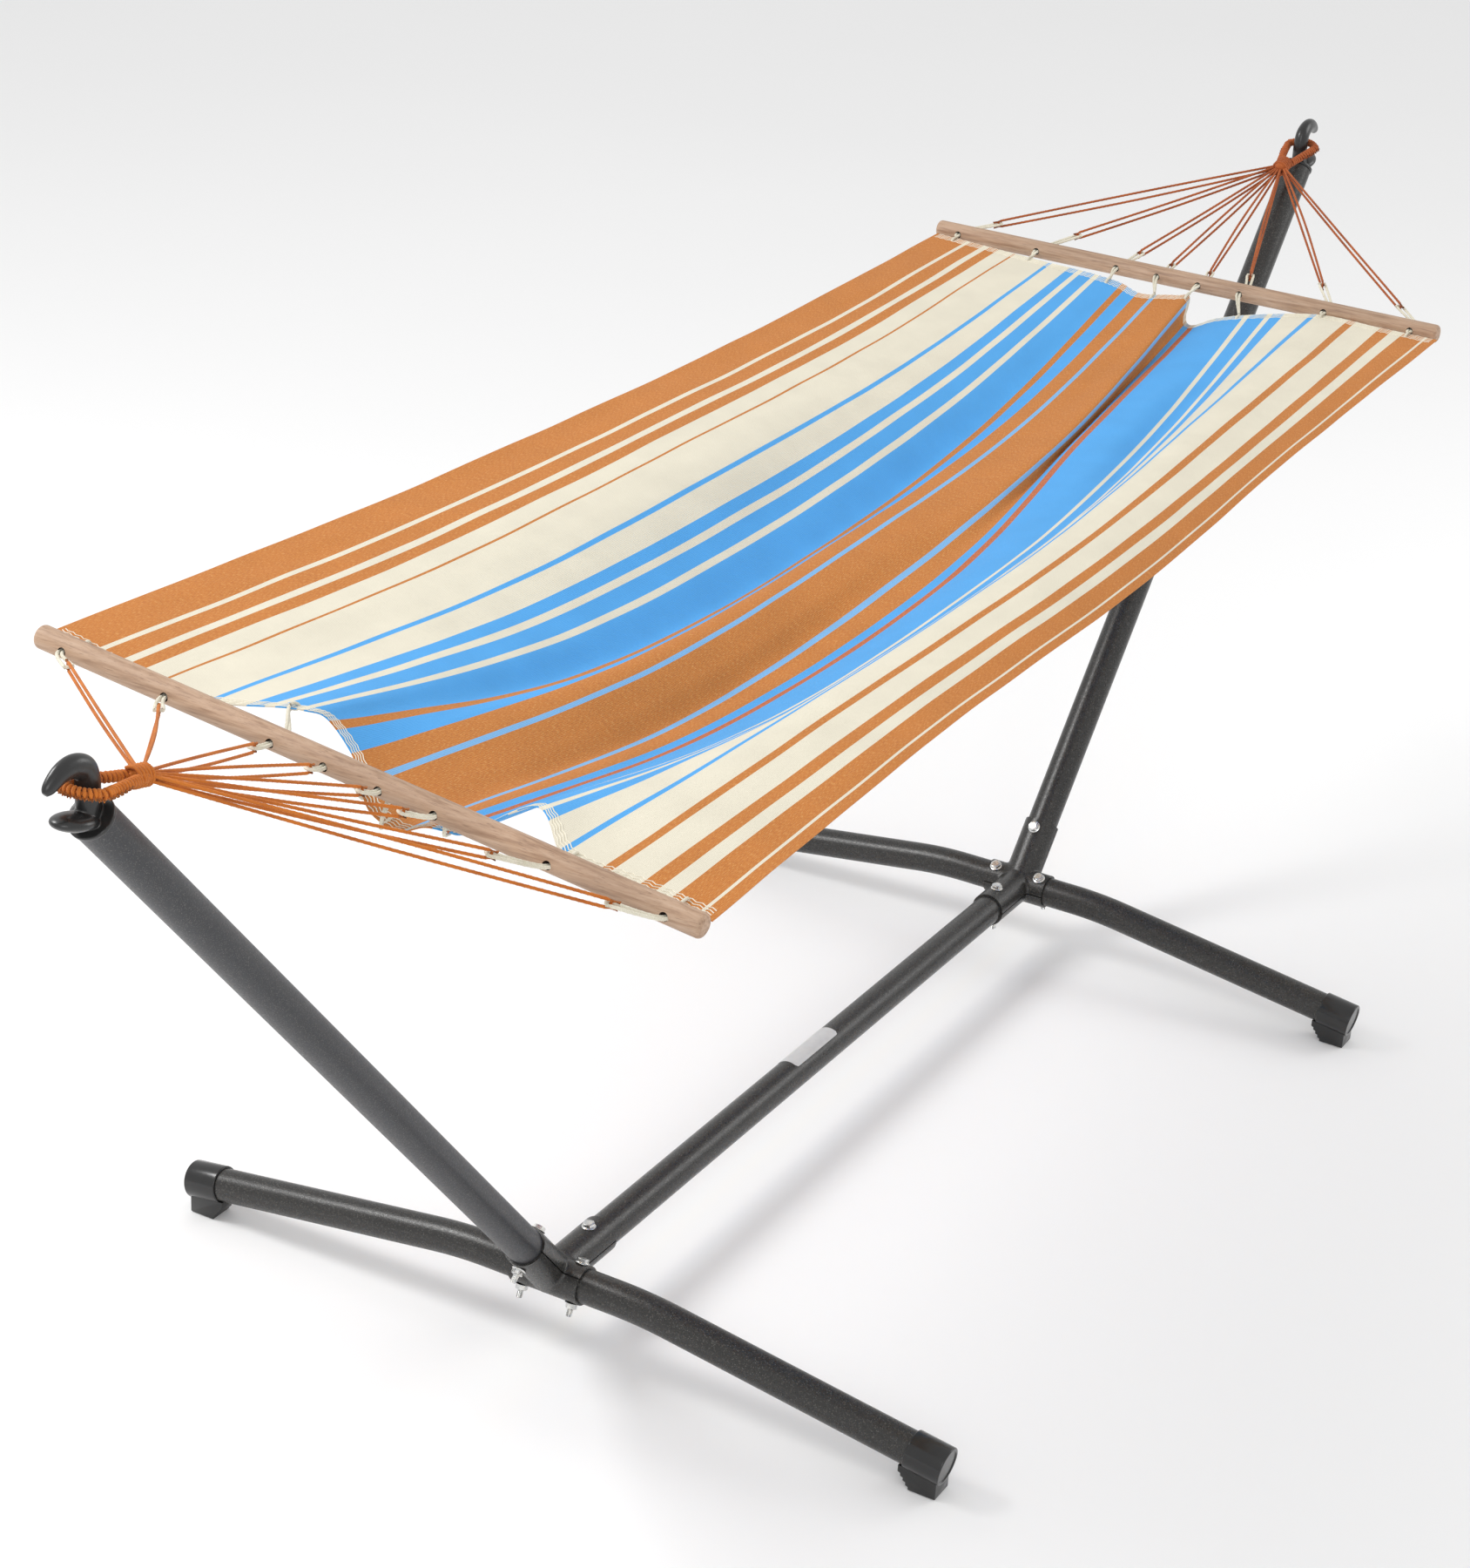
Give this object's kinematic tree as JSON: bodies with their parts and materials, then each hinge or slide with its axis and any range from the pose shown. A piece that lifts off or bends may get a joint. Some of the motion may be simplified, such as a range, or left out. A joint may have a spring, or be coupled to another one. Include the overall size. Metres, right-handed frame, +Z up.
{
  "type": "hammock on stand",
  "caption": "Striped cotton hammock with wooden spreader bars, hung on corded rings between the hooks of a bolted tubular steel stand.",
  "frame": {"origin": "on the ground below the middle of the stand, at the bottom centre of the bounding box", "axes": "+Z up, +X along the spine from the near hook to the far hook, +Y across to the left"},
  "size_m": [2.9648, 1.0692, 1.0768],
  "materials": {
    "powder_coat": "textured charcoal powder coat",
    "zinc": "bright zinc plated",
    "black_plastic": "moulded, semi-gloss",
    "wood": "oiled, open grain",
    "orange_cord": "twisted and half-hitched cotton cord",
    "cream_cord": "braided cotton cord",
    "striped_cotton": "woven cotton, orange, cream and blue stripes",
    "label": "blank film label"
  },
  "bodies": {
    "stand": {"spine_tube": "powder_coat", "spine_label": "label", "near_arm_tube": "powder_coat", "near_foot_tube": "powder_coat", "near_upper_clamp": "powder_coat", "near_lower_clamp": "powder_coat", "near_hook": "black_plastic", "near_foot_cap_left": "black_plastic", "near_foot_cap_right": "black_plastic", "near_arm_bolt": "zinc", "near_arm_nut": "zinc", "near_spine_bolt": "zinc", "near_spine_nut": "zinc", "near_foot_left_bolt": "zinc", "near_foot_left_nut": "zinc", "near_foot_right_bolt": "zinc", "near_foot_right_nut": "zinc", "far_arm_tube": "powder_coat", "far_foot_tube": "powder_coat", "far_upper_clamp": "powder_coat", "far_lower_clamp": "powder_coat", "far_hook": "black_plastic", "far_foot_cap_left": "black_plastic", "far_foot_cap_right": "black_plastic", "far_arm_bolt": "zinc", "far_arm_nut": "zinc", "far_spine_bolt": "zinc", "far_spine_nut": "zinc", "far_foot_left_bolt": "zinc", "far_foot_left_nut": "zinc", "far_foot_right_bolt": "zinc", "far_foot_right_nut": "zinc"},
    "hammock": {"hammock_cloth": "striped_cotton", "near_spreader_bar": "wood", "near_clew": "orange_cord", "near_loop_1": "cream_cord", "near_loop_2": "cream_cord", "near_loop_3": "cream_cord", "near_loop_4": "cream_cord", "near_loop_5": "cream_cord", "near_loop_6": "cream_cord", "near_loop_7": "cream_cord", "near_loop_8": "cream_cord", "far_spreader_bar": "wood", "far_clew": "orange_cord", "far_loop_1": "cream_cord", "far_loop_2": "cream_cord", "far_loop_3": "cream_cord", "far_loop_4": "cream_cord", "far_loop_5": "cream_cord", "far_loop_6": "cream_cord", "far_loop_7": "cream_cord", "far_loop_8": "cream_cord"}
  },
  "joints": [
    {"name": "hammock_swing", "type": "hinge", "parent": "stand", "child": "hammock", "pos_m": [0, 0, 1.042], "axis": [1, 0, 0], "range_deg": [-20, 20]}
  ]
}
